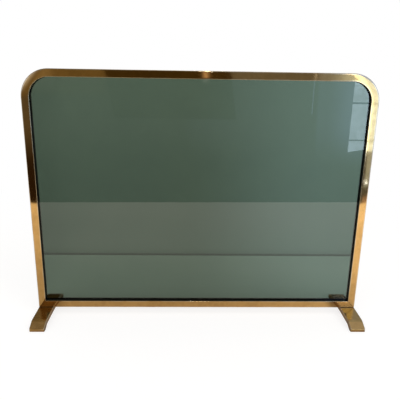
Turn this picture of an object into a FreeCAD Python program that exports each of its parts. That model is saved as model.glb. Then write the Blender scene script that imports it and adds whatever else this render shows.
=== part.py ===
import FreeCAD, Part
import math
import os

from FreeCAD import Vector

# Free-standing glass fire screen. A pane of smoked glass sits in black glazing rubber inside a brass
# channel that is bent round both top corners and closed by a mitred rail. Two brass bars with set-down
# toes carry it. Millimetres. X runs along the screen, Y from front to back, Z up. The origin is on the
# floor, midway between the feet and midway through the frame.

# Brass frame
FRAME_WIDTH = 750.0
FRAME_HEIGHT = 542.3
CORNER_RADIUS = 59.0
BAR_FACE = 16.4
BAR_DEPTH = 20.0
BAR_WALL = 2.0
FLANGE_THICKNESS = 5.0
ARRIS_RADIUS = 1.5
LIP_RADIUS = 0.8
MITRE_GAP = 0.1

# Glass
GLASS_THICKNESS = 6.0
GLASS_BITE = 7.0
GLASS_ARRIS = 0.5
GLASS_CORNER_RADIUS = 2.0
GLASS_CLEARANCE = 0.1

# Glazing rubber
RUBBER_CLEARANCE = 0.1
RUBBER_PROUD = 0.3
RUBBER_BEVEL = 0.7

# Feet
FOOT_LENGTH = 167.5
FOOT_WIDTH = 33.0
FOOT_HEIGHT = 19.2
FOOT_THICKNESS = 10.2
SEAT_MARGIN = 2.0
ARM_FALL = 2.5
ARM_RADIUS = 60.0
TOE_HEIGHT = 7.0
TOE_ANGLE = 26.0
TOE_RADIUS = 12.0
FOOT_CORNER_RADIUS = 2.0
FOOT_EDGE_CHAMFER = 0.8

# Corner keys
KEY_LEG = 45.0
KEY_THICKNESS = 4.0
KEY_SIDE_CLEARANCE = 0.2
KEY_RELIEF = 0.2
KEY_HEEL_RADIUS = 1.0
KEY_INNER_RADIUS = 3.0

# Foot screws
SCREW_DIAMETER = 5.0
SCREW_HEAD_DIAMETER = 9.2
SCREW_INSET = 9.0
SCREW_SPACING = 15.0
SCREW_CLEARANCE = 0.25
THREAD_CLEARANCE = 0.05
HEAD_CLEARANCE = 0.1
HEAD_RECESS = 0.3
SCREW_TIP_COVER = 0.5
SLOT_WIDTH = 1.2
SLOT_DEPTH = 1.0

# Largest share of a wall that the rounding or bevel of its lip may take
LIP_SHARE = 0.9
# Lengths below this count as nothing
TINY = 1e-6

# Levels and half sizes that several pieces share
HALF_WIDTH = FRAME_WIDTH / 2
FRAME_BOTTOM = FOOT_HEIGHT
FRAME_TOP = FRAME_BOTTOM + FRAME_HEIGHT
CAVITY_WIDTH = BAR_DEPTH - 2 * FLANGE_THICKNESS
GLASS_INSET = BAR_FACE - GLASS_BITE
FOOT_UNDERSIDE = FOOT_HEIGHT - FOOT_THICKNESS
SCREW_HEAD_LEVEL = FOOT_UNDERSIDE + HEAD_RECESS
SCREW_AXES = [HALF_WIDTH - SCREW_INSET - SCREW_SPACING, HALF_WIDTH - SCREW_INSET]
SIDES = {"left": -1, "right": 1}

ORIGIN = Vector(0, 0, 0)
ACROSS = Vector(1, 0, 0)
BACK = Vector(0, 1, 0)
UP = Vector(0, 0, 1)


def rounded_loop(corners):
    """Closed wire through (point, radius) corners, each one rounded by an arc tangent to its two sides."""
    edges = []
    ends = []
    count = len(corners)
    for i, (point, radius) in enumerate(corners):
        before = (corners[i - 1][0] - point).normalize()
        after = (corners[(i + 1) % count][0] - point).normalize()
        if radius <= 0:
            ends.append((point, point))
            continue
        half_angle = before.getAngle(after) / 2
        setback = radius / math.tan(half_angle)
        start = point + before * setback
        end = point + after * setback
        bisector = (before + after).normalize()
        middle = point + bisector * (radius / math.sin(half_angle) - radius)
        edges.append(Part.Arc(start, middle, end).toShape())
        ends.append((start, end))
    for i in range(count):
        start = ends[i][1]
        end = ends[(i + 1) % count][0]
        if start.distanceToPoint(end) > TINY:
            edges.append(Part.LineSegment(start, end).toShape())
    return Part.Wire(Part.__sortEdges__(edges))


def channel_loop(half_outline):
    """U-shaped section in the XY plane from the (x, y, radius) corners of its front half, back to slot."""
    other_half = [(x, -y, radius) for x, y, radius in reversed(half_outline)]
    return rounded_loop([(Vector(x, y, 0), radius) for x, y, radius in half_outline + other_half])


def brass_loop():
    """Section of the brass channel, its back at X = 0 and its slot open towards +X."""
    lip_radius = min(LIP_RADIUS, LIP_SHARE * FLANGE_THICKNESS)
    half_outline = [
        (0, -BAR_DEPTH / 2, ARRIS_RADIUS),
        (BAR_FACE, -BAR_DEPTH / 2, lip_radius),
        (BAR_FACE, -CAVITY_WIDTH / 2, 0),
        (BAR_WALL, -CAVITY_WIDTH / 2, 0),
    ]
    return channel_loop(half_outline)


def rubber_loop():
    """Section of the glazing rubber that lines the channel and grips the glass, with bevelled lips."""
    half_depth = CAVITY_WIDTH / 2 - RUBBER_CLEARANCE
    half_slot = GLASS_THICKNESS / 2 + GLASS_CLEARANCE
    bevel = min(RUBBER_BEVEL, LIP_SHARE * (half_depth - half_slot))
    opening = BAR_FACE + RUBBER_PROUD
    half_outline = [
        (BAR_WALL + RUBBER_CLEARANCE, -half_depth, 0),
        (opening - bevel, -half_depth, 0),
        (opening, -half_depth + bevel, 0),
        (opening, -half_slot, 0),
        (GLASS_INSET - GLASS_CLEARANCE, -half_slot, 0),
    ]
    return channel_loop(half_outline)


def hoop_path():
    """Outer line of the hoop, up one side, round both top corners and down the other side."""
    left = -HALF_WIDTH
    right = HALF_WIDTH
    spring = FRAME_TOP - CORNER_RADIUS
    lag = CORNER_RADIUS * (1 - math.sqrt(0.5))
    left_foot = Vector(left, 0, FRAME_BOTTOM)
    left_spring = Vector(left, 0, spring)
    left_crown = Vector(left + CORNER_RADIUS, 0, FRAME_TOP)
    right_crown = Vector(right - CORNER_RADIUS, 0, FRAME_TOP)
    right_spring = Vector(right, 0, spring)
    right_foot = Vector(right, 0, FRAME_BOTTOM)
    edges = [
        Part.LineSegment(left_foot, left_spring),
        Part.Arc(left_spring, Vector(left + lag, 0, FRAME_TOP - lag), left_crown),
        Part.LineSegment(left_crown, right_crown),
        Part.Arc(right_crown, Vector(right - lag, 0, FRAME_TOP - lag), right_spring),
        Part.LineSegment(right_spring, right_foot),
    ]
    return Part.Wire([edge.toShape() for edge in edges])


def swept_hoop(section):
    """Section carried along the hoop's outer line."""
    section.translate(Vector(-HALF_WIDTH, 0, FRAME_BOTTOM))
    return hoop_path().makePipeShell([section], True, False)


def straight_rail(section):
    """Section laid along the bottom of the frame, open upwards."""
    section.rotate(ORIGIN, BACK, -90)
    section.translate(Vector(-HALF_WIDTH, 0, FRAME_BOTTOM))
    return Part.Face(section).extrude(ACROSS * FRAME_WIDTH)


def mitre_wedge(half_gap):
    """Block over the bottom rail, whose sloping ends stand half_gap inside the 45 degree mitre planes."""
    shift = half_gap * math.sqrt(2)
    margin = BAR_FACE
    below = FRAME_BOTTOM - margin
    above = FRAME_BOTTOM + BAR_FACE + margin
    low_end = HALF_WIDTH + margin - shift
    high_end = HALF_WIDTH - BAR_FACE - margin - shift
    corners = [
        Vector(-low_end, -BAR_DEPTH, below),
        Vector(low_end, -BAR_DEPTH, below),
        Vector(high_end, -BAR_DEPTH, above),
        Vector(-high_end, -BAR_DEPTH, above),
    ]
    return Part.Face(Part.makePolygon(corners + corners[:1])).extrude(BACK * 2 * BAR_DEPTH)


def upright_cylinder(radius, x, low, high):
    """Cylinder on a foot screw's axis at X = x, between two levels."""
    return Part.makeCylinder(radius, high - low, Vector(x, 0, low), UP)


def mirrored(shape):
    """The same shape on the other side of the middle plane."""
    return shape.mirror(ORIGIN, ACROSS)


def key_outline(growth, heel_radius):
    """L-shaped face of the right-hand corner key, its inner sides moved out by growth."""
    heel_x = HALF_WIDTH - BAR_WALL
    heel_z = FRAME_BOTTOM + BAR_WALL
    leg = KEY_LEG + growth
    thickness = KEY_THICKNESS + growth
    corners = [
        (Vector(heel_x, 0, heel_z), heel_radius),
        (Vector(heel_x, 0, heel_z + leg), 0),
        (Vector(heel_x - thickness, 0, heel_z + leg), 0),
        (Vector(heel_x - thickness, 0, heel_z + thickness), KEY_INNER_RADIUS),
        (Vector(heel_x - leg, 0, heel_z + thickness), 0),
        (Vector(heel_x - leg, 0, heel_z), 0),
    ]
    return Part.Face(rounded_loop(corners))


def corner_key():
    """Right-hand corner key, tapped for the two foot screws."""
    half_width = CAVITY_WIDTH / 2 - KEY_SIDE_CLEARANCE
    face = key_outline(0, KEY_HEEL_RADIUS)
    face.translate(BACK * -half_width)
    key = face.extrude(BACK * 2 * half_width)
    floor = FRAME_BOTTOM + BAR_WALL
    radius = SCREW_DIAMETER / 2 + THREAD_CLEARANCE
    for x in SCREW_AXES:
        key = key.cut(upright_cylinder(radius, x, floor, floor + KEY_THICKNESS))
    return key


def key_relief():
    """Room left in the rubber for both corner keys, through the full depth of the channel."""
    face = key_outline(KEY_RELIEF, 0)
    face.translate(BACK * -CAVITY_WIDTH / 2)
    right = face.extrude(BACK * CAVITY_WIDTH)
    return right.fuse(mirrored(right))


def frame_hoop():
    """Uprights and top of the frame in one bent channel, mitred at the feet."""
    return swept_hoop(brass_loop()).cut(mitre_wedge(-MITRE_GAP / 2))


def bottom_rail():
    """Bottom of the frame, mitred to the hoop and drilled for the foot screws."""
    rail = straight_rail(brass_loop()).common(mitre_wedge(MITRE_GAP / 2))
    radius = SCREW_DIAMETER / 2 + SCREW_CLEARANCE
    for axis in SCREW_AXES:
        for side in SIDES.values():
            rail = rail.cut(upright_cylinder(radius, side * axis, FRAME_BOTTOM, FRAME_BOTTOM + BAR_WALL))
    return rail


def hoop_gasket():
    """Glazing rubber in the hoop, relieved behind the corner keys."""
    return swept_hoop(rubber_loop()).cut(mitre_wedge(-MITRE_GAP / 2)).cut(key_relief())


def bottom_gasket():
    """Glazing rubber in the rail, relieved over the corner keys."""
    return straight_rail(rubber_loop()).common(mitre_wedge(MITRE_GAP / 2)).cut(key_relief())


def glass_panel():
    """Pane with its top corners struck from the hoop's own centres and its edges arrised."""
    half_width = HALF_WIDTH - GLASS_INSET
    low = FRAME_BOTTOM + GLASS_INSET
    high = FRAME_TOP - GLASS_INSET
    top_radius = CORNER_RADIUS - GLASS_INSET
    front = -GLASS_THICKNESS / 2
    outline = [
        (Vector(-half_width, front, low), GLASS_CORNER_RADIUS),
        (Vector(half_width, front, low), GLASS_CORNER_RADIUS),
        (Vector(half_width, front, high), top_radius),
        (Vector(-half_width, front, high), top_radius),
    ]
    pane = Part.Face(rounded_loop(outline)).extrude(BACK * GLASS_THICKNESS)
    rims = [edge for edge in pane.Edges if edge.BoundBox.YLength < GLASS_ARRIS]
    return pane.makeChamfer(GLASS_ARRIS, rims)


def under_bend(upper_bend, before, after):
    """Bend of a foot's underside below a bend of its top line, whose fall changes between two angles."""
    middle = math.radians((before + after) / 2)
    reach = FOOT_THICKNESS / math.cos(math.radians((after - before) / 2))
    return upper_bend[0] - reach * math.sin(middle), upper_bend[1] - reach * math.cos(middle)


def foot_side_face():
    """Side view of a foot: a level seat, arms that fall a little, and toes set down and ground flat."""
    fall = math.tan(math.radians(ARM_FALL))
    slope = math.tan(math.radians(TOE_ANGLE))
    tip = FOOT_LENGTH / 2
    seat_end = BAR_DEPTH / 2 + SEAT_MARGIN
    toe_run = (FOOT_HEIGHT - TOE_HEIGHT - (tip - seat_end) * fall) / (slope - fall)
    shoulder = (seat_end, FOOT_HEIGHT)
    knee = (tip - toe_run, TOE_HEIGHT + toe_run * slope)
    under_shoulder = under_bend(shoulder, 0, ARM_FALL)
    under_knee = under_bend(knee, ARM_FALL, TOE_ANGLE)
    pad = under_knee[0] + under_knee[1] / slope
    rear_half = [
        (*shoulder, ARM_RADIUS + FOOT_THICKNESS),
        (*knee, TOE_RADIUS + FOOT_THICKNESS),
        (tip, TOE_HEIGHT, 0),
        (tip, 0, 0),
        (pad, 0, 0),
        (*under_knee, TOE_RADIUS),
        (*under_shoulder, ARM_RADIUS),
    ]
    front_half = [(-y, z, radius) for y, z, radius in reversed(rear_half)]
    return Part.Face(rounded_loop([(Vector(0, y, z), radius) for y, z, radius in rear_half + front_half]))


def is_plan_corner(edge):
    """Whether an edge is one of the four upright corners at the ends of a foot."""
    box = edge.BoundBox
    at_tip = abs(abs(box.YMin) - FOOT_LENGTH / 2) < TINY
    return at_tip and box.XLength < TINY and box.YLength < TINY


def middle_normal(face):
    """Outward normal at the middle of a face."""
    u_low, u_high, v_low, v_high = face.ParameterRange
    return face.normalAt((u_low + u_high) / 2, (v_low + v_high) / 2)


def is_top_edge(solid, edge):
    """Whether an edge runs between a face that looks up and one that stands upright."""
    lifts = [middle_normal(face).z for face in solid.ancestorsOfType(edge, Part.Face)]
    return max(lifts) > TINY and min(abs(lift) for lift in lifts) < TINY


def foot():
    """Right-hand foot, with rounded plan corners, eased top edges and countersunk screw holes."""
    side = foot_side_face()
    side.translate(ACROSS * (HALF_WIDTH - FOOT_WIDTH))
    bar = side.extrude(ACROSS * FOOT_WIDTH)
    bar = bar.makeFillet(FOOT_CORNER_RADIUS, [edge for edge in bar.Edges if is_plan_corner(edge)])
    bar = bar.makeChamfer(FOOT_EDGE_CHAMFER, [edge for edge in bar.Edges if is_top_edge(bar, edge)])
    for x in SCREW_AXES:
        bar = bar.cut(screw_hole(x))
    return bar


def countersunk_profile(growth, head_low, top):
    """Half section of a countersunk screw about the Z axis, grown sideways by growth."""
    head_radius = SCREW_HEAD_DIAMETER / 2 + growth
    shank_radius = SCREW_DIAMETER / 2 + growth
    neck = SCREW_HEAD_LEVEL + head_radius - shank_radius
    points = [
        Vector(0, 0, head_low),
        Vector(head_radius, 0, head_low),
        Vector(head_radius, 0, SCREW_HEAD_LEVEL),
        Vector(shank_radius, 0, neck),
        Vector(shank_radius, 0, top),
        Vector(0, 0, top),
    ]
    distinct = [point for i, point in enumerate(points) if i == 0 or point != points[i - 1]]
    return Part.Face(Part.makePolygon(distinct + distinct[:1]))


def screw_hole(x):
    """Countersunk hole for one foot screw, from below the foot to above its seat."""
    profile = countersunk_profile(HEAD_CLEARANCE, 0, FOOT_HEIGHT + SCREW_DIAMETER)
    return profile.revolve(ORIGIN, UP, 360).translated(ACROSS * x)


def foot_screw(x):
    """One slotted countersunk screw, its tip just short of the corner key's upper face."""
    tip = FRAME_BOTTOM + BAR_WALL + KEY_THICKNESS - SCREW_TIP_COVER
    screw = countersunk_profile(0, SCREW_HEAD_LEVEL, tip).revolve(ORIGIN, UP, 360)
    slot = Part.makeBox(SCREW_HEAD_DIAMETER, SLOT_WIDTH, SLOT_DEPTH)
    slot.translate(Vector(-SCREW_HEAD_DIAMETER / 2, -SLOT_WIDTH / 2, SCREW_HEAD_LEVEL))
    return screw.cut(slot).translated(ACROSS * x)


def foot_screws():
    """All the foot screws, as one group of separate solids."""
    return Part.makeCompound([foot_screw(side * axis) for side in SIDES.values() for axis in SCREW_AXES])


def all_nodes():
    """Every piece of the screen by its name."""
    nodes = {
        "frame_hoop": frame_hoop(),
        "bottom_rail": bottom_rail(),
        "glass_panel": glass_panel(),
        "hoop_gasket": hoop_gasket(),
        "bottom_gasket": bottom_gasket(),
        "foot_screws": foot_screws(),
    }
    for name, side in SIDES.items():
        key = corner_key()
        bar = foot()
        nodes[name + "_corner_key"] = key if side > 0 else mirrored(key)
        nodes[name + "_foot"] = bar if side > 0 else mirrored(bar)
    return nodes


os.makedirs("parts", exist_ok=True)
for node, shape in all_nodes().items():
    shape.exportStep("parts/" + node + ".step")
    print(node, len(shape.Solids), "solids", round(shape.Volume, 1), "mm3", shape.isValid())
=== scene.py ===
import logging
import math
from abc import ABC, abstractmethod
from collections.abc import Callable, Sequence
from dataclasses import dataclass
from enum import Enum
from functools import reduce
from typing import ClassVar

import bmesh
import bpy
from mathutils import Matrix, Vector


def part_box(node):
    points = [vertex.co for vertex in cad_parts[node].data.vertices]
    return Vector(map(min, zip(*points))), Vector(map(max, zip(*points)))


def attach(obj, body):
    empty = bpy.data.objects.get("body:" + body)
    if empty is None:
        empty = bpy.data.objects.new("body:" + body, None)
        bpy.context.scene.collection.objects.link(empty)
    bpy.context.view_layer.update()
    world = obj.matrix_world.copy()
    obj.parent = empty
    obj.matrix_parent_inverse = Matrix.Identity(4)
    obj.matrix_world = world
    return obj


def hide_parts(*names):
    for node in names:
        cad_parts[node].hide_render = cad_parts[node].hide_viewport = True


# A free-standing fire screen: a smoked glass pane held by rubber in a bent brass channel, on two
# brass feet. Everything is in metres: X along the screen, Y from front to back, Z up from the floor.

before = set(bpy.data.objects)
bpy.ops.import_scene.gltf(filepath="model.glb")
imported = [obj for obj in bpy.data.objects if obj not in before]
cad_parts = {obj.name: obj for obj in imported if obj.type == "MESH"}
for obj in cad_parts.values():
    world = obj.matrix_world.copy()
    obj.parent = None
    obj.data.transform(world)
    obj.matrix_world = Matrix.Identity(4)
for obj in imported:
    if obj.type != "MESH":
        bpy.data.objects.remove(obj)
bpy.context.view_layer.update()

LOG = logging.getLogger("fire_screen")
MM = 0.001
IMAGE_SIDE = 400
SENSOR_WIDTH = 36.0
SHARP_ANGLE = math.radians(25.0)
FLAT_WEIGHT = 100
ARC_STEPS = 6
SIDE_STEPS = 8
WHITE = (1.0, 1.0, 1.0)
BLACK = (0.0, 0.0, 0.0)
BRIGHT_GLOW = (2.5, 3.2, 3.85)
COOL_GLOW = (1.19, 1.74, 2.85)

Span = tuple[float, float]
Point = tuple[float, float, float]
Colour = tuple[float, float, float]
Socket = bpy.types.NodeSocket
Sockets = bpy.types.NodeOutputs
Feed = Socket | float | Sequence[float]
Bands = tuple[tuple[Span, Colour], ...]
PlaceAt = Callable[[float], tuple[float, float]]


class Side(Enum):
    """The two ends of the screen, as seen from the front."""

    LEFT = -1
    RIGHT = 1


class Slot(Enum):
    """The record's material slots of the pieces that are made anew."""

    FRAME = "frame_brass"
    FOOT = "foot_brass"
    GLASS = "smoked_glass"
    RUBBER = "glazing_rubber"


class Lay(Enum):
    """Which way the polishing lines run on a brass piece."""

    ALONG_BAR = "along the bar"
    ALONG_X = "along X"


class SocketKind(Enum):
    """The kinds of socket that the shared node groups have."""

    VALUE = "NodeSocketFloat"
    VECTOR = "NodeSocketVector"


class Ray(Enum):
    """The kinds of ray that a piece of the stage can be hidden from."""

    CAMERA = "visible_camera"
    DIFFUSE = "visible_diffuse"
    GLOSSY = "visible_glossy"
    TRANSMISSION = "visible_transmission"
    SHADOW = "visible_shadow"


@dataclass(frozen=True)
class Step:
    """A smooth change: over which span of one value it goes, and what another value goes from and to."""

    span: Span
    to: Span


@dataclass(frozen=True)
class Cloud:
    """A cloudy noise, and how a span of its values is stretched into a mask."""

    scale: float = 1.0
    detail: float = 3.0
    rough: float = 0.5
    warp: float = 0.0
    span: Span = (0.0, 1.0)
    to: Span = (0.0, 1.0)


class NodeDesk:
    """Lays nodes in one tree with short calls."""

    def __init__(self, tree: bpy.types.NodeTree) -> None:
        """Keep the tree that the nodes go into."""
        self.tree = tree

    def feed(self, socket: Socket, value: Feed) -> None:
        """Link a socket to another one, or set its own value.

        Args:
            socket: The input that is fed.
            value: An output socket, a number, or a vector or colour of three parts.
        """
        if isinstance(value, Socket):
            self.tree.links.new(value, socket)
        elif socket.type == "RGBA":
            socket.default_value = (*value, 1.0)
        else:
            socket.default_value = value

    def node(self, kind: str, feeds: dict[str | int, Feed] | None = None,
             **settings: object) -> bpy.types.Node:
        """Add one node.

        Args:
            kind: Blender's name for the node.
            feeds: What each input takes, by its name or number.
            **settings: The node's own options.

        Returns:
            The new node.
        """
        made = self.tree.nodes.new(kind)
        for key, value in settings.items():
            setattr(made, key, value)
        for key, value in (feeds or {}).items():
            self.feed(made.inputs[key], value)
        return made

    def math(self, operation: str, first: Feed, second: Feed = 0.0) -> Socket:
        """Work out one sum of two values and give its socket."""
        return self.node("ShaderNodeMath", {0: first, 1: second}, operation=operation).outputs[0]

    def add(self, *values: Feed) -> Socket:
        """Add up any number of values and give the socket of their sum."""
        return reduce(lambda total, value: self.math("ADD", total, value), values)

    def times(self, *values: Feed) -> Socket:
        """Multiply any number of values and give the socket of their product."""
        return reduce(lambda total, value: self.math("MULTIPLY", total, value), values)

    def size(self, value: Feed) -> Socket:
        """Give the socket of a value without its sign."""
        return self.math("ABSOLUTE", value)

    def vector_math(self, operation: str, first: Feed, second: Feed = (0.0, 0.0, 0.0)) -> Socket:
        """Work out one sum of two vectors and give its socket."""
        return self.node("ShaderNodeVectorMath", {0: first, 1: second}, operation=operation).outputs[0]

    def remap(self, value: Feed, span: tuple[Feed, Feed], to: tuple[Feed, Feed] = (0.0, 1.0)) -> Socket:
        """Turn one span of values smoothly into another, and hold its ends.

        Args:
            value: What is turned.
            span: The values that the change starts and stops at.
            to: What it is before the start and after the stop.

        Returns:
            The socket of the result.
        """
        feeds = {"Value": value, "From Min": span[0], "From Max": span[1], "To Min": to[0], "To Max": to[1]}
        made = self.node("ShaderNodeMapRange", feeds, interpolation_type="SMOOTHSTEP")
        return made.outputs["Result"]

    def noise(self, place: Feed, cloud: Cloud, scale: Feed | None = None) -> Socket:
        """Add a cloudy noise.

        Args:
            place: Where on the surface it is read.
            cloud: What it is like.
            scale: How many clouds there are in a metre, where that isn't the cloud's own.

        Returns:
            The socket of its value, from 0 to 1.
        """
        feeds = {"Vector": place, "Scale": cloud.scale if scale is None else scale, "Detail": cloud.detail,
                 "Roughness": cloud.rough, "Distortion": cloud.warp}
        return self.node("ShaderNodeTexNoise", feeds).outputs["Fac"]

    def cloud_mask(self, place: Feed, cloud: Cloud, scale: Feed | None = None) -> Socket:
        """Add a cloudy noise and give the socket of the mask that is made of it."""
        return self.remap(self.noise(place, cloud, scale), cloud.span, cloud.to)

    def mix(self, share: Feed, first: Feed, second: Feed, **settings: str) -> Socket:
        """Mix two colours by a share of the second and give the socket of the result."""
        feeds = {0: share, 6: first, 7: second}
        return self.node("ShaderNodeMix", feeds, data_type="RGBA", **settings).outputs[2]

    def layers(self, base: Feed, *coats: tuple[Feed, Feed]) -> Socket:
        """Lay coats over a base, each a mask and a colour, and give the socket of the result."""
        return reduce(lambda under, coat: self.mix(coat[0], under, coat[1]), coats, base)

    def bands(self, value: Feed, base: Feed, bands: Bands) -> Socket:
        """Lay colours over a base, each where a value is past its span, and give the result's socket."""
        return self.layers(base, *((self.remap(value, span), colour) for span, colour in bands))

    def steps(self, value: Feed, *steps: Step) -> Socket:
        """Add up the smooth changes that go with a value and give the socket of their sum."""
        return self.add(*(self.remap(value, step.span, step.to) for step in steps))

    def parts(self, vector: Feed) -> tuple[Socket, ...]:
        """Give the sockets of a vector's three parts."""
        return tuple(self.node("ShaderNodeSeparateXYZ", {"Vector": vector}).outputs)

    def vector(self, *values: Feed) -> Socket:
        """Join three values to a vector and give its socket."""
        return self.node("ShaderNodeCombineXYZ", dict(zip("XYZ", values))).outputs["Vector"]

    def mark(self, name: str) -> Socket:
        """Give the socket of a number that the mesh keeps at its points."""
        return self.node("ShaderNodeAttribute", attribute_name=name).outputs["Fac"]

    def here(self) -> Socket:
        """Give the socket of the place on the piece."""
        return self.node("ShaderNodeTexCoord").outputs["Object"]

    def facing(self) -> tuple[Socket, ...]:
        """Give the sockets of the three parts of the way that the surface faces."""
        return self.parts(self.node("ShaderNodeNewGeometry").outputs["Normal"])

    def rays(self) -> Sockets:
        """Give the sockets that tell the kinds of ray apart."""
        return self.node("ShaderNodeLightPath").outputs

    def show(self, surface: Socket) -> None:
        """Let the material show a shader."""
        self.node("ShaderNodeOutputMaterial", {"Surface": surface})


def empty_desk(owner: bpy.types.Material | bpy.types.World) -> NodeDesk:
    """Clear the nodes of a material or a world.

    Args:
        owner: The material or world.

    Returns:
        The desk of its empty tree.
    """
    owner.use_nodes = True
    owner.node_tree.nodes.clear()
    return NodeDesk(owner.node_tree)


class Effect(ABC):
    """A surface effect that several finishes share, as one node group."""

    vectors: ClassVar[frozenset[str]] = frozenset({"Place", "Centre", "Half"})
    inputs: ClassVar[tuple[str, ...]]
    output: ClassVar[str] = "Mask"

    def tree(self) -> bpy.types.NodeTree:
        """Build the group the first time, and give it each time.

        Returns:
            The group's node tree.
        """
        name = type(self).__name__
        found = bpy.data.node_groups.get(name)
        if found:
            return found
        made = bpy.data.node_groups.new(name, "ShaderNodeTree")
        for label in self.inputs:
            kind = SocketKind.VECTOR if label in self.vectors else SocketKind.VALUE
            made.interface.new_socket(label, in_out="INPUT", socket_type=kind.value)
        made.interface.new_socket(self.output, in_out="OUTPUT", socket_type=SocketKind.VALUE.value)
        desk = NodeDesk(made)
        result = self.wire(desk, desk.node("NodeGroupInput").outputs)
        desk.node("NodeGroupOutput", {self.output: result})
        return made

    @abstractmethod
    def wire(self, desk: NodeDesk, given: Sockets) -> Socket:
        """Lay the group's nodes.

        Args:
            desk: The desk of the group's tree.
            given: The group's inputs.

        Returns:
            The socket of the group's one result.
        """

    def place(self, desk: NodeDesk, **feeds: Feed) -> Socket:
        """Place the group in a material, with what each input takes, and give the socket of its result."""
        return desk.node("ShaderNodeGroup", feeds, node_tree=self.tree()).outputs[self.output]


class Brushing(Effect):
    """Fine lines that the polishing wheel leaves along a bar."""

    inputs = ("Along", "Across", "Fineness", "Stretch")
    output = "Lines"
    grain = Cloud(detail=4.0, rough=0.6, span=(0.28, 0.72))

    def wire(self, desk: NodeDesk, given: Sockets) -> Socket:
        """Pull a noise out along the bar.

        Args:
            desk: The desk of the group's tree.
            given: The group's inputs.

        Returns:
            The socket of the lines.
        """
        run = desk.math("DIVIDE", desk.times(given["Along"], given["Fineness"]), given["Stretch"])
        rows = desk.times(given["Across"], given["Fineness"])
        return desk.cloud_mask(desk.vector(run, rows, 0.0), self.grain)


class Patina(Effect):
    """Brown tarnish in clouds, and a ramp that grows towards the bottom."""

    inputs = ("Place", "Scale", "Share", "Low", "High", "Film")
    clouds = Cloud(detail=4.0, rough=0.62, warp=0.6)
    spots = Cloud(detail=3.0, rough=0.55)
    spot_scale = 4.7
    cloud_part = 0.62
    spot_part = 0.38
    span = (0.38, 0.66)

    def wire(self, desk: NodeDesk, given: Sockets) -> Socket:
        """Add broad clouds, small spots and the ramp low down.

        Args:
            desk: The desk of the group's tree.
            given: The group's inputs.

        Returns:
            The socket of the mask.
        """
        place, scale = given["Place"], given["Scale"]
        clouds = desk.times(desk.noise(place, self.clouds, scale), self.cloud_part)
        spots = desk.times(desk.noise(place, self.spots, desk.times(scale, self.spot_scale)), self.spot_part)
        cloudy = desk.times(desk.remap(desk.add(clouds, spots), self.span), given["Share"])
        film = desk.times(desk.remap(desk.parts(place)[2], (given["High"], given["Low"])), given["Film"])
        return desk.math("MINIMUM", desk.add(cloudy, film), 1.0)


class EdgeWear(Effect):
    """Bare bright metal where hands and cloths rub an edge."""

    inputs = ("Edge", "Place", "Amount")
    stretches = Cloud(38.0, 4.0, 0.6, span=(0.3, 0.62), to=(0.25, 1.0))

    def wire(self, desk: NodeDesk, given: Sockets) -> Socket:
        """Break the edge up into longer and shorter rubbed stretches."""
        return desk.times(given["Edge"], desk.cloud_mask(given["Place"], self.stretches), given["Amount"])


class Smudges(Effect):
    """Faint finger marks and the swirls of a cloth."""

    inputs = ("Place", "Scale", "Amount")
    patches = Cloud(detail=2.0, span=(0.45, 0.7))
    swirls = Cloud(detail=5.0, rough=0.65, warp=1.6, span=(0.4, 0.7))
    swirl_scale = 9.0

    def wire(self, desk: NodeDesk, given: Sockets) -> Socket:
        """Let soft swirls show only inside some broad patches.

        Args:
            desk: The desk of the group's tree.
            given: The group's inputs.

        Returns:
            The socket of the mask.
        """
        patches = desk.cloud_mask(given["Place"], self.patches, given["Scale"])
        swirls = desk.cloud_mask(given["Place"], self.swirls, desk.times(given["Scale"], self.swirl_scale))
        return desk.times(patches, swirls, given["Amount"])


class Dust(Effect):
    """A thin grey film on what faces up."""

    inputs = ("Place", "Amount")
    specks = Cloud(420.0, 3.0, 0.7, span=(0.45, 0.75), to=(0.35, 1.0))
    upward = (0.3, 0.95)

    def wire(self, desk: NodeDesk, given: Sockets) -> Socket:
        """Let specks and clouds settle on the upward faces."""
        upward = desk.remap(desk.facing()[2], self.upward)
        return desk.times(upward, desk.cloud_mask(given["Place"], self.specks), given["Amount"])


class SeatShade(Effect):
    """Painted shade, dark brown, where two pieces meet, alike on both sides of the middle."""

    inputs = ("Place", "Centre", "Half", "Spread", "Amount")
    breakup = Cloud(160.0, 4.0, 0.6, span=(0.3, 0.65), to=(0.45, 1.0))

    def wire(self, desk: NodeDesk, given: Sockets) -> Socket:
        """Fade out from the box where the pieces meet, and break the painted shade up.

        Args:
            desk: The desk of the group's tree.
            given: The group's inputs.

        Returns:
            The socket of the mask.
        """
        x, y, z = desk.parts(given["Place"])
        place = desk.vector(desk.size(x), y, z)
        apart = desk.vector_math("ABSOLUTE", desk.vector_math("SUBTRACT", place, given["Centre"]))
        x, y, z = desk.parts(desk.vector_math("SUBTRACT", apart, given["Half"]))
        near = desk.remap(desk.math("MAXIMUM", desk.math("MAXIMUM", x, y), z), (given["Spread"], 0.0))
        return desk.times(near, desk.cloud_mask(given["Place"], self.breakup), given["Amount"])


class SideShade(Effect):
    """Painted shade, brown, on the upright sides of a bar, and a thinner one on its ends."""

    inputs = ("Place", "Amount")
    film = Cloud(120.0, 4.0, 0.6, span=(0.3, 0.65), to=(0.6, 1.0))
    upright = (0.6, 0.95)
    end_share = 0.2

    def wire(self, desk: NodeDesk, given: Sockets) -> Socket:
        """Let a cloudy painted shade cover the faces that look sideways or endways.

        Args:
            desk: The desk of the group's tree.
            given: The group's inputs.

        Returns:
            The socket of the mask.
        """
        x, y, _ = desk.facing()
        sides = desk.remap(desk.size(x), self.upright)
        ends = desk.remap(desk.size(y), self.upright, (0.0, self.end_share))
        film = desk.cloud_mask(given["Place"], self.film)
        return desk.times(desk.math("MAXIMUM", sides, ends), film, given["Amount"])


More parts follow.
